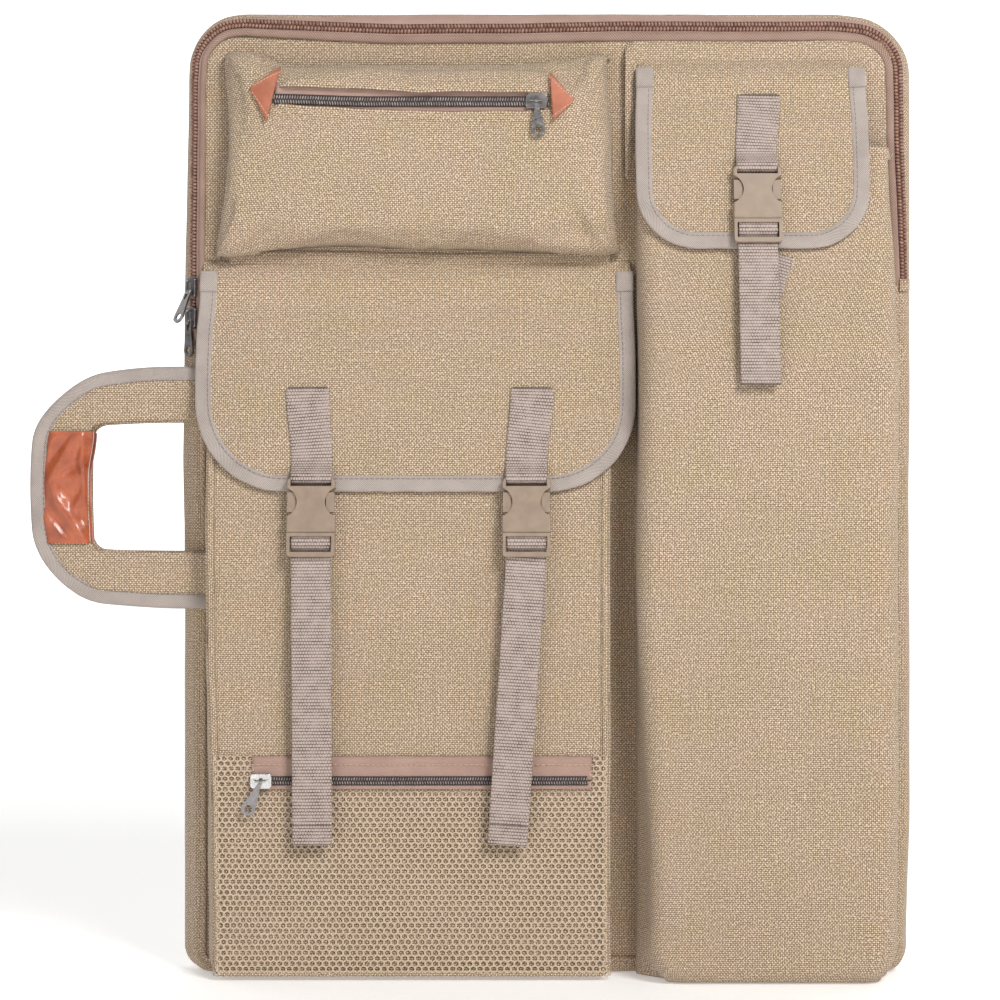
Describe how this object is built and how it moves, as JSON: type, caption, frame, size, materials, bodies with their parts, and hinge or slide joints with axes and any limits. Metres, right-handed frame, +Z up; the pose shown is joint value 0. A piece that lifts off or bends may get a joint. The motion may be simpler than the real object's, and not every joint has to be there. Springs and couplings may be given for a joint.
{
  "type": "portfolio case",
  "caption": "Tall flat canvas carrying case for drawing boards, zipped round the top, with side handles, a tube pocket and flapped, zipped and mesh front pockets.",
  "frame": {"origin": "centre of the case's base, on the surface it stands on", "axes": "+Z up along the tall sides, -Y out of the front with the pockets, +X to the right seen from the front; the handles reach out to -X"},
  "size_m": [0.5871, 0.106, 0.6358],
  "materials": {
    "canvas": "coarse plain-woven tan canvas, matt",
    "lining": "smooth woven brown lining",
    "foam": "soft closed-cell padding, matt",
    "zip_tape": "mauve-brown woven tape",
    "zip_coil_brown": "reddish-brown nylon coil",
    "zip_coil_dark": "dark brown nylon coil",
    "metal_dark": "polished gunmetal plating",
    "metal_bright": "polished nickel plating",
    "webbing": "ribbed taupe webbing",
    "binding": "taupe twill binding tape",
    "leather": "glossy orange-brown leather, creased",
    "buckle_plastic": "semi-gloss khaki plastic",
    "mesh": "mauve-brown open net"
  },
  "bodies": {
    "case": {"anchor_straps": "webbing", "back_foam": "foam", "back_panel": "canvas", "back_piping": "canvas", "big_pocket_face": "canvas", "big_pocket_gusset": "canvas", "flap_seams": "canvas", "front_edge_band": "canvas", "front_foam": "foam", "front_panel": "canvas", "front_piping": "canvas", "gusset": "canvas", "lining": "lining", "main_zip_coil": "zip_coil_brown", "main_zip_end_stops": "zip_coil_brown", "main_zip_tape_front": "zip_tape", "main_zip_tape_rear": "zip_tape", "main_zip_welt": "zip_tape", "mesh_panel": "mesh", "mesh_zip_coil": "zip_coil_dark", "mesh_zip_tape": "zip_tape", "top_pocket_shell": "canvas", "top_zip_coil": "zip_coil_dark", "top_zip_tape": "zip_tape", "tube_back_layer": "canvas", "tube_pocket": "canvas", "zip_end_patches": "leather"},
    "main_slider_upper": {"main_slider_upper": "metal_dark"},
    "main_pull_upper": {"main_pull_upper": "metal_dark"},
    "main_slider_lower": {"main_slider_lower": "metal_dark"},
    "main_pull_lower": {"main_pull_lower": "metal_dark"},
    "top_slider": {"top_slider": "metal_dark"},
    "top_pull": {"top_pull": "metal_dark"},
    "mesh_slider": {"mesh_slider": "metal_bright"},
    "mesh_pull": {"mesh_pull": "metal_dark"},
    "front_handle": {"front_handle_binding": "binding", "front_handle_core": "foam", "front_handle_cover": "canvas", "front_handle_grip": "leather"},
    "rear_handle": {"rear_handle_binding": "binding", "rear_handle_core": "foam", "rear_handle_cover": "canvas", "rear_handle_grip": "leather"},
    "big_flap": {"big_flap": "canvas", "big_flap_binding": "binding", "big_flap_straps": "webbing", "big_buckle_females": "buckle_plastic"},
    "tube_flap": {"tube_flap": "canvas", "tube_flap_binding": "binding", "tube_flap_strap": "webbing", "tube_buckle_female": "buckle_plastic"},
    "left_buckle_male": {"left_buckle_male": "buckle_plastic", "left_buckle_prongs": "buckle_plastic"},
    "right_buckle_male": {"right_buckle_male": "buckle_plastic", "right_buckle_prongs": "buckle_plastic"},
    "tube_buckle_male": {"tube_buckle_male": "buckle_plastic", "tube_buckle_prongs": "buckle_plastic"},
    "left_strap_tail": {"left_strap_tail": "webbing"},
    "right_strap_tail": {"right_strap_tail": "webbing"},
    "tube_strap_tail": {"tube_strap_tail": "webbing"}
  },
  "joints": [
    {"name": "big_flap_hinge", "type": "hinge", "parent": "case", "child": "big_flap", "pos_m": [0, -0.025, 0.467], "axis": [-1, 0, 0], "range_deg": [0, 100]},
    {"name": "tube_flap_hinge", "type": "hinge", "parent": "case", "child": "tube_flap", "pos_m": [0, -0.025, 0.602], "axis": [-1, 0, 0], "range_deg": [0, 150]},
    {"name": "left_buckle_release", "type": "slide", "parent": "big_flap", "child": "left_buckle_male", "axis": [0, -0.1392, -0.9903], "range_m": [0, 0.03], "deforming": ["left_buckle_prongs"]},
    {"name": "left_tail_swing", "type": "hinge", "parent": "left_buckle_male", "child": "left_strap_tail", "pos_m": [-0.157, -0.05805, 0.27675], "axis": [-1, 0, 0], "range_deg": [0, 80]},
    {"name": "right_buckle_release", "type": "slide", "parent": "big_flap", "child": "right_buckle_male", "axis": [0, -0.1392, -0.9903], "range_m": [0, 0.03], "deforming": ["right_buckle_prongs"]},
    {"name": "right_tail_swing", "type": "hinge", "parent": "right_buckle_male", "child": "right_strap_tail", "pos_m": [-0.016, -0.05805, 0.27675], "axis": [-1, 0, 0], "range_deg": [0, 80]},
    {"name": "tube_buckle_release", "type": "slide", "parent": "tube_flap", "child": "tube_buckle_male", "axis": [0, -0.2079, -0.9781], "range_m": [0, 0.03], "deforming": ["tube_buckle_prongs"]},
    {"name": "tube_tail_swing", "type": "hinge", "parent": "tube_buckle_male", "child": "tube_strap_tail", "pos_m": [0.1355, -0.05689, 0.48201], "axis": [-1, 0, 0], "range_deg": [0, 40]},
    {"name": "main_slider_upper_travel", "type": "slide", "parent": "case", "child": "main_slider_upper", "axis": [0, 0, 1], "range_m": [0, 0.13]},
    {"name": "main_slider_lower_travel", "type": "slide", "parent": "case", "child": "main_slider_lower", "axis": [0, 0, 1], "range_m": [-0.004, 0.005]},
    {"name": "top_slider_travel", "type": "slide", "parent": "case", "child": "top_slider", "axis": [-1, 0, 0], "range_m": [0, 0.163]},
    {"name": "mesh_slider_travel", "type": "slide", "parent": "case", "child": "mesh_slider", "axis": [1, 0, 0], "range_m": [0, 0.207]},
    {"name": "main_pull_upper_swing", "type": "hinge", "parent": "main_slider_upper", "child": "main_pull_upper", "pos_m": [-0.24063, -0.02063, 0.4546], "axis": [-0.7071, 0.7071, 0], "range_deg": [-10, 110]},
    {"name": "main_pull_lower_swing", "type": "hinge", "parent": "main_slider_lower", "child": "main_pull_lower", "pos_m": [-0.24063, -0.02063, 0.4346], "axis": [-0.7071, 0.7071, 0], "range_deg": [0, 62]},
    {"name": "top_pull_swing", "type": "hinge", "parent": "top_slider", "child": "top_pull", "pos_m": [-0.0095, -0.0552, 0.577], "axis": [-1, 0, 0], "range_deg": [0, 160]},
    {"name": "mesh_pull_swing", "type": "hinge", "parent": "mesh_slider", "child": "mesh_pull", "pos_m": [-0.19, -0.055, 0.131], "axis": [-1, 0, 0], "range_deg": [0, 160]},
    {"name": "front_handle_swing", "type": "hinge", "parent": "case", "child": "front_handle", "pos_m": [-0.23, -0.0248, 0.3245], "axis": [0, 0, 1], "range_deg": [-6, 50]},
    {"name": "rear_handle_swing", "type": "hinge", "parent": "case", "child": "rear_handle", "pos_m": [-0.23, 0.025, 0.3245], "axis": [0, 0, -1], "range_deg": [-6, 160]}
  ]
}
